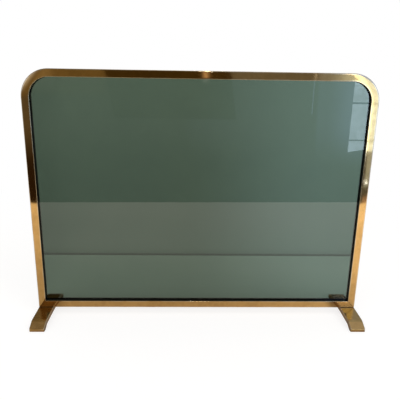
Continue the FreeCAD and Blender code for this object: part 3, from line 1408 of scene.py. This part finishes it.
@dataclass(frozen=True)
class Lamp:
    """A soft lamp that faces the screen and lights without showing."""

    name: str
    place: Point
    size: tuple[float, float]
    power: float
    aim: Point = (0.0, 0.0, 0.2)

    def build(self) -> None:
        """Hang the lamp."""
        data = bpy.data.lights.new(self.name, "AREA")
        data.shape = "RECTANGLE"
        data.size, data.size_y = self.size
        data.energy = self.power
        lamp = new_object(self.name, data)
        turn = (Vector(self.aim) - Vector(self.place)).to_track_quat("-Z", "Y").to_matrix().to_4x4()
        lamp.matrix_world = Matrix.Translation(self.place) @ turn
        hide_from(lamp, Ray.GLOSSY, Ray.TRANSMISSION, Ray.CAMERA)


@dataclass(frozen=True)
class Viewpoint:
    """Where the camera stands and how it is turned."""

    place: Point = (-33.8 * MM, -961.5 * MM, 559.8 * MM)
    pitch: float = 0.27166
    yaw: float = 0.02890
    roll: float = -0.01644
    focal_pixels: float = 446.22
    centre_pixels: tuple[float, float] = (197.315, 195.910)
    nearest: float = 10 * MM

    def build(self) -> None:
        """Make the camera and let the scene use it."""
        ahead = Vector((math.sin(self.yaw) * math.cos(self.pitch), math.cos(self.yaw) * math.cos(self.pitch),
                        -math.sin(self.pitch)))
        level = Vector((math.cos(self.yaw), -math.sin(self.yaw), 0.0))
        down = ahead.cross(level)
        right = math.cos(self.roll) * level + math.sin(self.roll) * down
        up = math.sin(self.roll) * level - math.cos(self.roll) * down
        data = bpy.data.cameras.new("view")
        data.sensor_width = SENSOR_WIDTH
        data.lens = self.focal_pixels * SENSOR_WIDTH / IMAGE_SIDE
        data.shift_x = 0.5 - self.centre_pixels[0] / IMAGE_SIDE
        data.shift_y = self.centre_pixels[1] / IMAGE_SIDE - 0.5
        data.clip_start = self.nearest
        camera = new_object("view", data)
        turn = Matrix((right, up, -ahead)).transposed().to_4x4()
        camera.matrix_world = Matrix.Translation(self.place) @ turn
        bpy.context.scene.camera = camera


@dataclass(frozen=True)
class Studio:
    """The pale floor and backdrop, the soft light and the surround."""

    floor_level: float = -0.1 * MM
    floor_front: float = -0.948
    front_skew: float = 0.0293
    floor_back: float = 0.348
    half_width: float = 3.0
    floor_tone: Colour = (0.30, 0.29, 0.28)
    fade_span: Span = (0.55, 1.4)
    fade_tones: Span = (0.78, 1.0)
    floor_shown: Step = Step((0.06, 0.15), (0.5733, 0.735))
    left_glow: tuple[Step, Step] = (Step((-0.14, -0.50), (0.40, 0.86)), Step((-0.62, -0.85), (0.0, 0.16)))
    right_glow: tuple[Step, Step] = (Step((-0.10, -0.28), (0.40, 0.63)), Step((-0.35, -0.75), (0.0, 0.19)))
    middle_span: Span = (-0.2, 0.2)
    contact_reach: float = 27 * MM
    contact_tones: Span = (0.8, 0.4)
    warm: Colour = (1.0, 0.885, 0.76)
    side_tone: Colour = (0.62, 0.62, 0.59)
    side_bands: Bands = (((-0.05, 0.42), (1.02, 1.08, 1.17)), ((-0.36, -0.47), (0.53, 0.54, 0.51)))
    backdrop_height: float = 2.6
    backdrop_lift: Step = Step((0.1, 0.55), (0.78, 1.0))
    foot_lift: Step = Step((0.0, 0.03), (0.80, 1.0))
    seam_lift: Step = Step((6.0 * MM, 7.8 * MM), (0.5, 1.0))
    mirror_lift: Step = Step((0.17, 0.25), (0.4, 1.0))
    mirror_tone: Colour = (0.55, 0.55, 0.52)
    mirror_bands: Bands = (((-0.25, -0.45), (0.18, 0.165, 0.115)), ((0.25, 0.45), (0.34, 0.40, 0.47)))
    ambient: Colour = (0.55, 0.55, 0.55)
    front_tone: Colour = (0.105, 0.095, 0.075)
    front_bands: Bands = (((-0.02, 0.04), (0.15, 0.16, 0.17)), ((-0.44, -0.62), (0.42, 0.40, 0.36)),
                          ((0.276, 0.284), (0.26, 0.325, 0.46)), ((0.295, 0.36), (0.66, 0.93, 1.40)))
    low_span: Span = (-0.10, -0.20)
    low_tone: Colour = (0.024, 0.015, 0.008)
    low_bands: Bands = (((0.0, 0.3), (0.10, 0.12, 0.15)),)
    rear_span: Span = (-0.75, -0.1)
    rear_tone: Colour = (0.46, 0.46, 0.46)
    above_span: Span = (0.5, 0.9)
    above_tone: Colour = (0.29, 0.28, 0.26)
    above_bands: Bands = (((-0.3, 0.35), (0.46, 0.50, 0.58)),)
    cards: tuple[Card, ...] = (
        Card("bright_low_card", (0.913, 0.121), (1.012, 0.187), BRIGHT_GLOW, rise=0.015, mottle=0.10),
        Card("bright_mid_card", (0.913, 0.194), (1.012, 0.397), BRIGHT_GLOW, mottle=0.10),
        Card("bright_high_card", (0.913, 0.407), (1.012, 0.5205), BRIGHT_GLOW, mottle=0.18),
        Card("bright_top_card", (0.951, 0.5205), (1.13, 0.645), (2.35, 2.75, 3.45), -1.605, lean=-0.114,
             mottle=0.2),
        Card("cool_low_card", (1.012, 0.128), (1.9, 0.187), COOL_GLOW, mottle=0.15),
        Card("cool_mid_card", (1.012, 0.194), (1.9, 0.397), COOL_GLOW, mottle=0.15),
        Card("cool_high_card", (1.012, 0.407), (1.9, 0.645), COOL_GLOW, mottle=0.15),
        Card("blue_low_card", (0.80, 0.645), (1.9, 0.93), (0.38, 0.62, 1.5)),
        Card("blue_high_card", (0.80, 0.93), (1.9, 1.40), (0.65, 1.0, 1.45)),
        Card("grey_card", (1.018, -0.05), (1.9, 0.128), (0.40, 0.56, 0.86)),
        Card("glint_card", (1.015, -0.0605), (1.065, -0.0505), (2.6, 4.0, 8.4), rise=-0.005),
        Card("strip_card", (1.004, -0.091), (1.9, -0.060), (0.22, 0.31, 0.44), -1.605),
        Card("brown_card", (1.004, -0.200), (1.9, -0.135), (0.40, 0.33, 0.34), soft=0.022),
        Card("line_card", (0.6825, 0.335), (0.6875, 1.0), (0.66, 0.80, 1.15)),
        Card("dark_card", (-0.438, 0.30), (0.255, 1.0), (0.052, 0.037, 0.013), lean=-0.11),
        Card("streak_card", (0.047, 0.488), (0.103, 1.0), (0.58, 0.46, 0.37), -1.59, soft=0.028),
        Card("spark_card", (0.064, 0.9), (0.083, 2.4), (15.0, 16.0, 17.0), -1.2),
        Card("olive_card", (-1.10, 0.40), (-0.44, 0.80), (0.15, 0.122, 0.065), -1.61, soft=0.06),
        Card("warm_card", (-0.92, 0.42), (-0.73, 0.80), (0.23, 0.20, 0.13), soft=0.07),
        Card("pale_card", (-1.9, 0.43), (-0.86, 0.84), (0.95, 1.15, 1.65), -1.59, mottle=0.15, soft=0.26),
    )
    lamps: tuple[Lamp, ...] = (
        Lamp("soft_key", (1.3, -1.2, 1.9), (1.4, 1.0), 16.0),
        Lamp("soft_fill", (-0.9, -0.6, 2.2), (1.8, 1.6), 12.0),
    )

    def side_light(self, desk: NodeDesk, x: Feed) -> Socket:
        """Give the colour of the light across the stage, which comes from the right."""
        return desk.bands(x, self.side_tone, self.side_bands)

    def contact(self, desk: NodeDesk, x: Feed, y: Feed) -> Socket:
        """Shade the floor beside the feet, for the metal that mirrors it.

        Args:
            desk: The desk of the floor's material.
            x: The place across the stage.
            y: The place in depth.

        Returns:
            The socket of the share of light there.
        """
        low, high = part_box("right_foot")
        middle, half = (low.x + high.x) / 2, (high.x - low.x) / 2
        aside = desk.math("SUBTRACT", desk.size(desk.math("SUBTRACT", desk.size(x), middle)), half)
        beyond = desk.math("SUBTRACT", desk.size(y), high.y)
        deepest = desk.remap(x, self.middle_span, self.contact_tones)
        return desk.remap(desk.math("MAXIMUM", aside, beyond), (0.0, self.contact_reach), (deepest, 1.0))

    def floor(self) -> None:
        """Lay the pale floor, and under it a wider one that only the eye sees."""
        wide, level, back = self.half_width, self.floor_level, self.floor_back
        left, right = self.floor_front + wide * self.front_skew, self.floor_front - wide * self.front_skew
        _, desk = stage_sheet("floor", [(-wide, left, level), (wide, right, level),
                                        (wide, back, level), (-wide, back, level)])
        self.floor_finish(desk)
        level *= 2
        far, desk = stage_sheet("far_floor", [(-wide, -wide, level), (wide, -wide, level),
                                              (wide, wide, level), (-wide, wide, level)])
        self.floor_finish(desk)
        hide_from(far, Ray.GLOSSY, Ray.TRANSMISSION, Ray.DIFFUSE, Ray.SHADOW)

    def floor_finish(self, desk: NodeDesk) -> None:
        """Make the floor white to the eye, with the object's shadow, and dimmer in what is polished.

        Args:
            desk: The desk of the sheet's material.
        """
        rays = desk.rays()
        eye, through = rays["Is Camera Ray"], rays["Is Transmission Ray"]
        mirrored = desk.times(rays["Is Glossy Ray"], desk.math("SUBTRACT", 1.0, through))
        place = desk.here()
        x, y, _ = desk.parts(place)
        apart = desk.node("ShaderNodeVectorMath", {0: place}, operation="LENGTH").outputs["Value"]
        share = desk.remap(x, self.middle_span)
        left = desk.times(desk.steps(y, *self.left_glow), desk.math("SUBTRACT", 1.0, share))
        right = desk.times(desk.steps(y, *self.right_glow), share)
        fall = desk.times(desk.add(left, right), self.contact(desk, x, y))
        across = self.side_light(desk, x)
        warmed = desk.mix(1.0, across, self.warm, blend_type="MULTIPLY")
        tone = desk.layers(across, (mirrored, warmed), (eye, WHITE))
        seen = desk.times(eye, desk.remap(apart, self.fade_span, self.fade_tones))
        # Painted shade: the floor seen through the glass is darker close behind the screen.
        shown = desk.times(through, desk.steps(y, self.floor_shown))
        glow = desk.add(seen, shown, desk.times(mirrored, fall))
        light = desk.node("ShaderNodeEmission", {"Color": tone, "Strength": glow})
        far = desk.times(desk.remap(apart, self.fade_span), eye)
        matt = desk.node("ShaderNodeBsdfDiffuse", {"Color": desk.mix(far, self.floor_tone, BLACK)})
        desk.show(desk.node("ShaderNodeAddShader", {0: matt.outputs[0], 1: light.outputs[0]}).outputs[0])

    def backdrop(self) -> None:
        """Hang the pale backdrop, which shows through the glass and in the brass."""
        wide, back, high = self.half_width, self.floor_back, self.backdrop_height
        sheet, desk = stage_sheet("backdrop", [(-wide, back, 0.0), (wide, back, 0.0),
                                               (wide, back, high), (-wide, back, high)])
        x, _, z = desk.parts(desk.here())
        through = desk.rays()["Is Transmission Ray"]
        # Painted shade: the backdrop is darker low down and at its foot, with a dark line at the seam, and
        # darker below 0.25 m where the brass mirrors it.
        lift = desk.times(desk.steps(z, self.backdrop_lift), desk.steps(z, self.foot_lift))
        lift = desk.times(lift, desk.math("MAXIMUM", desk.steps(z, self.mirror_lift), through))
        glow = desk.times(desk.steps(z, self.seam_lift), lift)
        mirrored = desk.bands(x, self.mirror_tone, self.mirror_bands)
        tone = desk.mix(through, mirrored, self.side_light(desk, x))
        light = desk.node("ShaderNodeEmission", {"Color": tone, "Strength": glow})
        desk.show(light.outputs[0])
        hide_from(sheet, Ray.CAMERA, Ray.DIFFUSE, Ray.SHADOW)

    def surround(self) -> None:
        """Set the world: white to the eye, plain light, and a dim front for the polished metal."""
        world = bpy.data.worlds.new("studio")
        bpy.context.scene.world = world
        desk = empty_desk(world)
        rays = desk.rays()
        x, y, z = desk.parts(desk.node("ShaderNodeTexCoord").outputs["Generated"])
        low = desk.bands(x, self.low_tone, self.low_bands)
        above = desk.bands(x, self.above_tone, self.above_bands)
        polished = desk.layers(desk.bands(x, self.front_tone, self.front_bands),
                               (desk.remap(z, self.low_span), low),
                               (desk.remap(y, self.rear_span), self.rear_tone),
                               (desk.remap(z, self.above_span), above))
        shown = desk.math("MAXIMUM", rays["Is Camera Ray"], rays["Is Transmission Ray"])
        colour = desk.layers(self.ambient, (rays["Is Glossy Ray"], polished), (shown, WHITE))
        light = desk.node("ShaderNodeBackground", {"Color": colour, "Strength": 1.0})
        desk.node("ShaderNodeOutputWorld", {"Surface": light.outputs[0]})

    def build(self) -> None:
        """Set the whole stage."""
        self.floor()
        self.backdrop()
        self.surround()
        for thing in (*self.cards, *self.lamps):
            thing.build()
        bpy.context.scene.view_settings.view_transform = "Standard"


def main() -> None:
    """Build the screen's sub-assemblies in order, then the stage and the camera."""
    logging.basicConfig(level=logging.INFO, format="%(name)s: %(message)s")
    line = FrameLine.read()
    BrassFrame(line).build()
    Glazing(line).build()
    for side in Side:
        Foot(side).build()
    Fixings().dress()
    Studio().build()
    Viewpoint().build()


if __name__ == "__main__":
    main()
